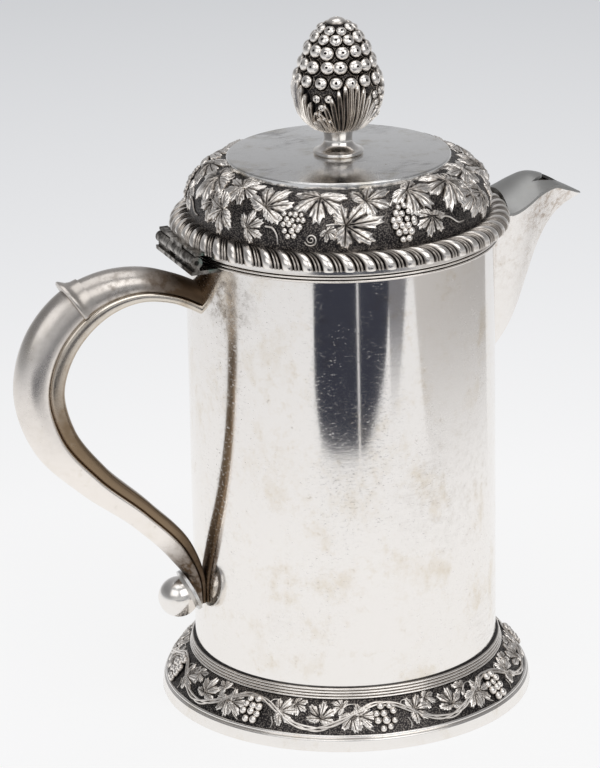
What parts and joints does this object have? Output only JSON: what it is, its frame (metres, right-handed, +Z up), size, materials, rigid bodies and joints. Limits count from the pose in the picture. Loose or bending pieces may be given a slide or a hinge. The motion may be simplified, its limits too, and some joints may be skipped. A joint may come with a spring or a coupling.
{
  "type": "coffee pot",
  "caption": "Tall cylindrical silver coffee pot on a spreading foot, with a covered V-section spout, a hollow loop handle and a hinged domed lid with a fruit finial.",
  "frame": {"origin": "centre of the foot's base", "axes": "+Z up the pot's axis, +X towards the spout, -X towards the handle and hinge"},
  "size_m": [0.1972, 0.1226, 0.2266],
  "materials": {
    "silver_polished": "polished silver with fine wear and warm tarnish",
    "silver_satin": "satin silver",
    "silver_oxidised": "chased silver with oxidised ground",
    "silver_hardware": "worn silver, darkened in the joints"
  },
  "bodies": {
    "pot": {"body_drum": "silver_polished", "body_bottom": "silver_satin", "rim_moulding": "silver_polished", "foot_collar": "silver_polished", "foot_band": "silver_oxidised", "foot_skirt": "silver_polished", "spout_shell": "silver_polished", "spout_cover": "silver_satin", "spout_strainer": "silver_satin", "handle_outer_half": "silver_polished", "handle_inner_half": "silver_polished", "handle_thumb_ridge": "silver_polished", "handle_end_plate": "silver_polished", "handle_ball": "silver_polished", "hinge_body_leaf": "silver_hardware", "hinge_pin": "silver_hardware"},
    "lid": {"lid_flange": "silver_satin", "lid_gadroon_border": "silver_oxidised", "lid_dome": "silver_oxidised", "lid_top_plate": "silver_satin", "lid_bezel": "silver_satin", "hinge_lid_leaf": "silver_hardware", "finial_spool": "silver_polished", "finial_fruit": "silver_oxidised", "finial_calyx": "silver_oxidised", "finial_stud": "silver_hardware", "finial_washer": "silver_hardware", "finial_nut": "silver_hardware"}
  },
  "joints": [
    {"name": "lid_hinge", "type": "hinge", "parent": "pot", "child": "lid", "pos_m": [-0.0552, 0, 0.1569], "axis": [0, -1, 0], "range_deg": [0, 110]}
  ]
}
